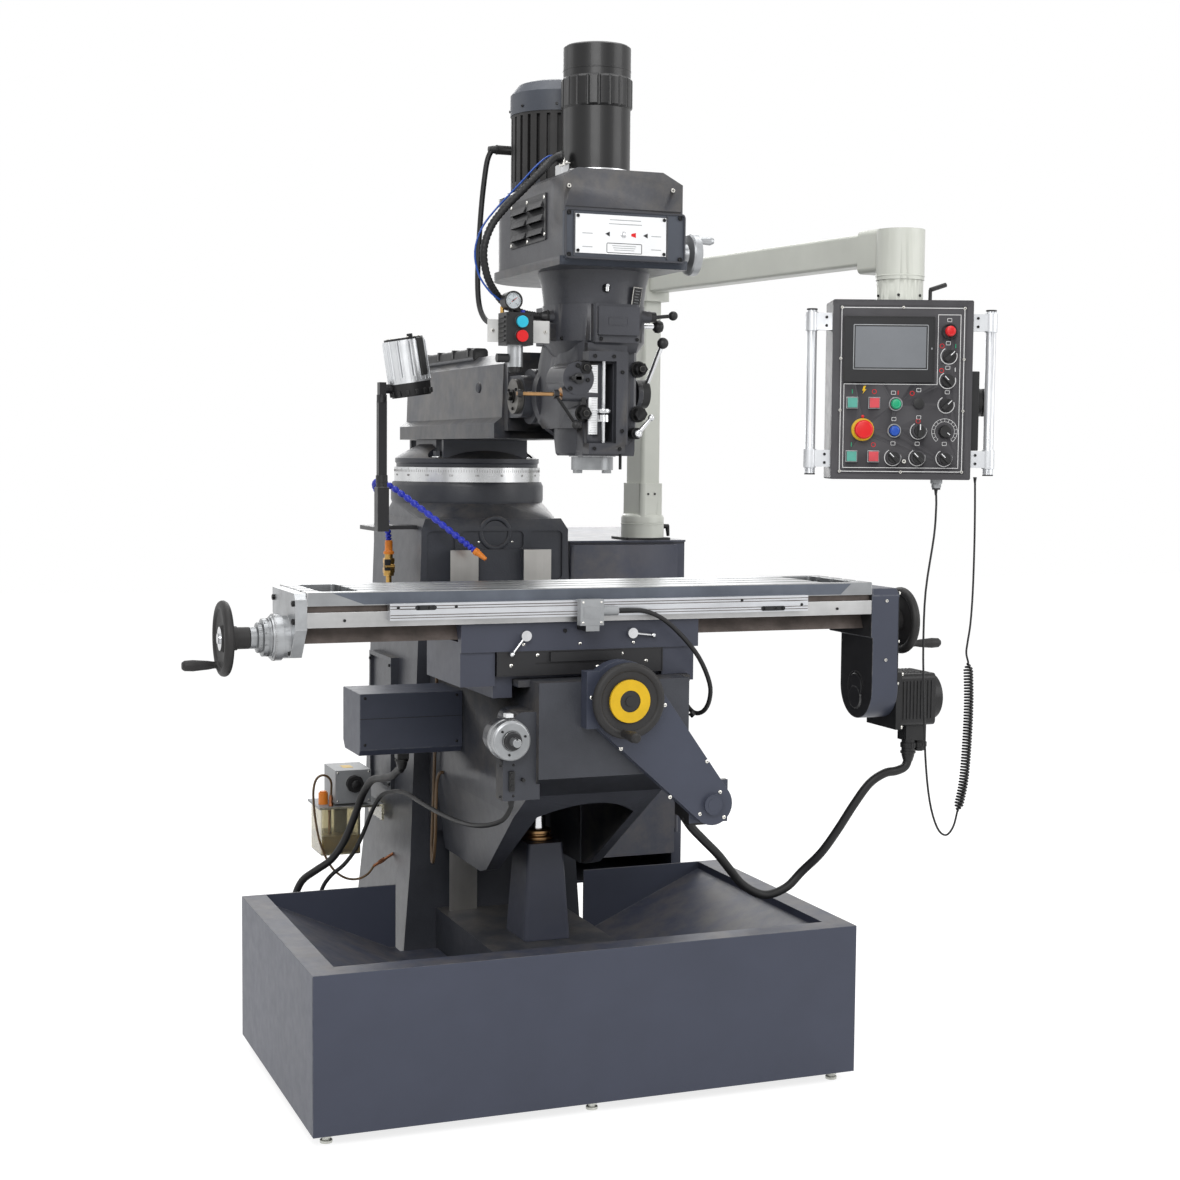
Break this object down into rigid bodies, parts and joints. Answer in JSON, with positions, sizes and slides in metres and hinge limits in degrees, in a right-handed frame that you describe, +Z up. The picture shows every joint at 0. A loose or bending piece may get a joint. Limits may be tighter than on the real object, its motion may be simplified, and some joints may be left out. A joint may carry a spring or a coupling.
{
  "type": "milling machine",
  "caption": "Knee-type turret milling machine with moving table, ram and tilting head, pneumatic drawbar, coolant tray, electrical cabinet and operator pendant on a swing arm.",
  "frame": {"origin": "on the floor at the middle of the bounding box's foot", "axes": "+X to the operator's right, +Y from the operator towards the column, +Z up"},
  "size_m": [1.698, 1.498, 2.258],
  "materials": {
    "tray_paint": "satin",
    "zinc": "satin",
    "grey_paint": "satin",
    "casting": "matt",
    "motor_grey": "satin",
    "warm_grey": "satin",
    "black_plastic": "matt",
    "pump": "gloss",
    "hose_blue": "satin",
    "black_steel": "satin",
    "lamp_alloy": "satin",
    "belt_cover_paint": "gloss",
    "dial_steel": "satin",
    "wheel_black": "gloss",
    "table_iron": "ground",
    "rail_alloy": "satin",
    "lever_chrome": "polished",
    "drawbar_black": "satin",
    "cable_rubber": "matt",
    "pendant_paint": "satin",
    "red_button": "gloss",
    "green_button": "gloss",
    "blue_button": "gloss"
  },
  "bodies": {
    "base": {"column": "grey_paint", "coolant_tray": "tray_paint", "levelling_feet": "zinc", "elevating_pedestal": "grey_paint", "electrical_cabinet": "grey_paint", "post_base": "warm_grey", "lube_unit": "pump", "coolant_hose": "hose_blue", "lamp_bracket": "black_steel"},
    "door": {"cabinet_door": "grey_paint"},
    "lamp_post": {"lamp_arm": "black_steel"},
    "lamp": {"work_light": "lamp_alloy"},
    "knee_body": {"knee": "grey_paint", "y_drive": "belt_cover_paint", "z_drive_cover": "grey_paint", "left_cables": "cable_rubber"},
    "z_dial_body": {"z_dial": "dial_steel"},
    "lift_screw": {"elevating_screw": "dial_steel"},
    "cross_wheel": {"y_handwheel": "wheel_black"},
    "saddle_body": {"saddle": "grey_paint", "saddle_wipers": "black_plastic", "right_cable": "cable_rubber", "reader_cable": "cable_rubber"},
    "lock_left": {"lock_lever_left": "lever_chrome"},
    "lock_right": {"lock_lever_right": "lever_chrome"},
    "table_body": {"table": "table_iron", "table_rail": "rail_alloy", "left_end_bracket": "rail_alloy", "x_belt_cover": "belt_cover_paint", "x_servo": "black_plastic"},
    "long_screw": {"x_screw": "dial_steel"},
    "turret_body": {"turret": "grey_paint"},
    "ram_body": {"ram": "grey_paint"},
    "adapter": {"ram_adapter": "casting"},
    "head": {"head_casting": "casting", "belt_housing": "casting", "spindle_motor": "motor_grey", "drawbar_unit": "drawbar_black", "drawbar_box": "black_plastic", "head_cables": "cable_rubber"},
    "quill_body": {"quill": "dial_steel"},
    "spindle_body": {"spindle": "dial_steel"},
    "feed_handle": {"feed_lever": "wheel_black"},
    "speed_handle": {"speed_wheel": "dial_steel"},
    "gear_handle": {"gear_lever": "black_steel"},
    "quill_lock_body": {"quill_lock": "lever_chrome"},
    "open_body": {"open_button": "blue_button"},
    "close_body": {"close_button": "red_button"},
    "arm": {"pendant_arm": "warm_grey"},
    "pendant": {"pendant_box": "pendant_paint", "mpg_unit": "black_plastic", "pendant_cord": "cable_rubber"},
    "estop_body": {"estop": "red_button"},
    "override_body": {"override_knob": "black_plastic"},
    "power_body": {"power_button": "red_button"},
    "start_body": {"start_button": "green_button"},
    "reset_body": {"reset_button": "blue_button"},
    "selector_top_body": {"selector_top": "black_plastic"},
    "selector_middle_body": {"selector_middle": "black_plastic"},
    "selector_low_body": {"selector_low": "black_plastic"}
  },
  "joints": [
    {"name": "knee_lift", "type": "slide", "parent": "base", "child": "knee_body", "axis": [0, 0, 1], "range_m": [-0.09, 0.2]},
    {"name": "saddle_cross", "type": "slide", "parent": "knee_body", "child": "saddle_body", "axis": [0, 1, 0], "range_m": [-0.06, 0.25]},
    {"name": "table_long", "type": "slide", "parent": "saddle_body", "child": "table_body", "axis": [1, 0, 0], "range_m": [-0.38, 0.31]},
    {"name": "turret_swivel", "type": "hinge", "parent": "base", "child": "turret_body", "pos_m": [0, 0.401, 1.34], "axis": [0, 0, 1], "range_deg": [-12, 20]},
    {"name": "ram_slide", "type": "slide", "parent": "turret_body", "child": "ram_body", "axis": [0, -1, 0], "range_m": [-0.15, 0.25]},
    {"name": "head_nod", "type": "hinge", "parent": "ram_body", "child": "adapter", "pos_m": [0, -0.3, 1.536], "axis": [-1, 0, 0], "range_deg": [-20, 20]},
    {"name": "head_tilt", "type": "hinge", "parent": "adapter", "child": "head", "pos_m": [0, -0.368, 1.536], "axis": [0, 1, 0], "range_deg": [-45, 45]},
    {"name": "quill_feed", "type": "slide", "parent": "head", "child": "quill_body", "axis": [0, 0, 1], "range_m": [-0.127, 0]},
    {"name": "pendant_arm_swing", "type": "hinge", "parent": "base", "child": "arm", "pos_m": [0.466, 0.349, 1.25], "axis": [0, 0, 1], "range_deg": [-5, 80]},
    {"name": "pendant_swivel", "type": "hinge", "parent": "arm", "child": "pendant", "pos_m": [0.6448, -0.63489, 1.79], "axis": [0, 0, 1], "range_deg": [-60, 20]},
    {"name": "door_swing", "type": "hinge", "parent": "base", "child": "door", "pos_m": [0.546, 0.29, 0.8], "axis": [0, 0, 1], "range_deg": [0, 100]},
    {"name": "lamp_swivel", "type": "hinge", "parent": "base", "child": "lamp_post", "pos_m": [-0.306, 0.1, 1.34], "axis": [0, 0, -1], "range_deg": [-60, 60]},
    {"name": "lamp_tilt", "type": "hinge", "parent": "lamp_post", "child": "lamp", "pos_m": [-0.29, 0.1, 1.56], "axis": [1, 0, 0], "range_deg": [-60, 60]},
    {"name": "speed_turn", "type": "hinge", "parent": "head", "child": "speed_handle", "pos_m": [0.14, -0.6, 1.826], "axis": [1, 0, 0], "continuous": true},
    {"name": "spindle_turn", "type": "hinge", "parent": "quill_body", "child": "spindle_body", "pos_m": [0, -0.472, 1.45], "axis": [0, 0, 1], "continuous": true},
    {"name": "gear_shift", "type": "hinge", "parent": "head", "child": "gear_handle", "pos_m": [0.108, -0.53, 1.7], "axis": [1, 0, 0], "range_deg": [-30, 40]},
    {"name": "quill_clamp", "type": "hinge", "parent": "head", "child": "quill_lock_body", "pos_m": [0.05, -0.59, 1.455], "axis": [0, 1, 0], "range_deg": [-30, 60]},
    {"name": "lock_left_turn", "type": "hinge", "parent": "saddle_body", "child": "lock_left", "pos_m": [-0.176, -0.55, 1.036], "axis": [0, 1, 0], "range_deg": [-40, 40]},
    {"name": "lock_right_turn", "type": "hinge", "parent": "saddle_body", "child": "lock_right", "pos_m": [0.062, -0.55, 1.036], "axis": [0, 1, 0], "range_deg": [-25, 40]},
    {"name": "open_press", "type": "slide", "parent": "head", "child": "open_body", "axis": [0, 1, 0], "range_m": [0, 0.0025], "stiffness_N_per_m": 400},
    {"name": "close_press", "type": "slide", "parent": "head", "child": "close_body", "axis": [0, 1, 0], "range_m": [0, 0.0025], "stiffness_N_per_m": 400},
    {"name": "estop_press", "type": "slide", "parent": "pendant", "child": "estop_body", "axis": [0.3584, 0.9336, 0], "range_m": [0, 0.004]},
    {"name": "power_press", "type": "slide", "parent": "pendant", "child": "power_body", "axis": [0.3584, 0.9336, 0], "range_m": [0, 0.0025], "stiffness_N_per_m": 400},
    {"name": "start_press", "type": "slide", "parent": "pendant", "child": "start_body", "axis": [0.3584, 0.9336, 0], "range_m": [0, 0.0025], "stiffness_N_per_m": 400},
    {"name": "reset_press", "type": "slide", "parent": "pendant", "child": "reset_body", "axis": [0.3584, 0.9336, 0], "range_m": [0, 0.0025], "stiffness_N_per_m": 400},
    {"name": "override_turn", "type": "hinge", "parent": "pendant", "child": "override_body", "pos_m": [0.71191, -0.71956, 1.466], "axis": [-0.3584, -0.9336, 0], "range_deg": [-135, 135]},
    {"name": "selector_top_turn", "type": "hinge", "parent": "pendant", "child": "selector_top_body", "pos_m": [0.71752, -0.72171, 1.627], "axis": [-0.3584, -0.9336, 0], "range_deg": [0, 90]},
    {"name": "selector_middle_turn", "type": "hinge", "parent": "pendant", "child": "selector_middle_body", "pos_m": [0.71565, -0.72099, 1.575], "axis": [-0.3584, -0.9336, 0], "range_deg": [-90, 0]},
    {"name": "selector_low_turn", "type": "hinge", "parent": "pendant", "child": "selector_low_body", "pos_m": [0.71378, -0.72028, 1.523], "axis": [-0.3584, -0.9336, 0], "range_deg": [0, 90]},
    {"name": "lift_screw_turn", "type": "hinge", "parent": "knee_body", "child": "lift_screw", "pos_m": [0, -0.144, 0.8], "axis": [0, 0, 1], "continuous": true},
    {"name": "z_dial_turn", "type": "hinge", "parent": "knee_body", "child": "z_dial_body", "pos_m": [-0.232, -0.58, 0.831], "axis": [0, -1, 0], "continuous": true},
    {"name": "cross_wheel_turn", "type": "hinge", "parent": "knee_body", "child": "cross_wheel", "pos_m": [0.004, -0.65, 0.909], "axis": [0, 1, 0], "continuous": true},
    {"name": "long_screw_turn", "type": "hinge", "parent": "table_body", "child": "long_screw", "pos_m": [0, -0.48, 1.04], "axis": [1, 0, 0], "continuous": true},
    {"name": "feed_turn", "type": "hinge", "parent": "head", "child": "feed_handle", "pos_m": [0.1, -0.49, 1.54], "axis": [1, 0, 0], "range_deg": [-5, 182]}
  ],
  "couplings": [
    {"joint": "lift_screw_turn", "follows": "knee_lift", "rad_per_m": 1256.6},
    {"joint": "z_dial_turn", "follows": "knee_lift", "rad_per_m": 2513.3},
    {"joint": "cross_wheel_turn", "follows": "saddle_cross", "rad_per_m": 1256.6},
    {"joint": "long_screw_turn", "follows": "table_long", "rad_per_m": 1256.6},
    {"joint": "feed_turn", "follows": "quill_feed", "rad_per_m": -24.7}
  ]
}
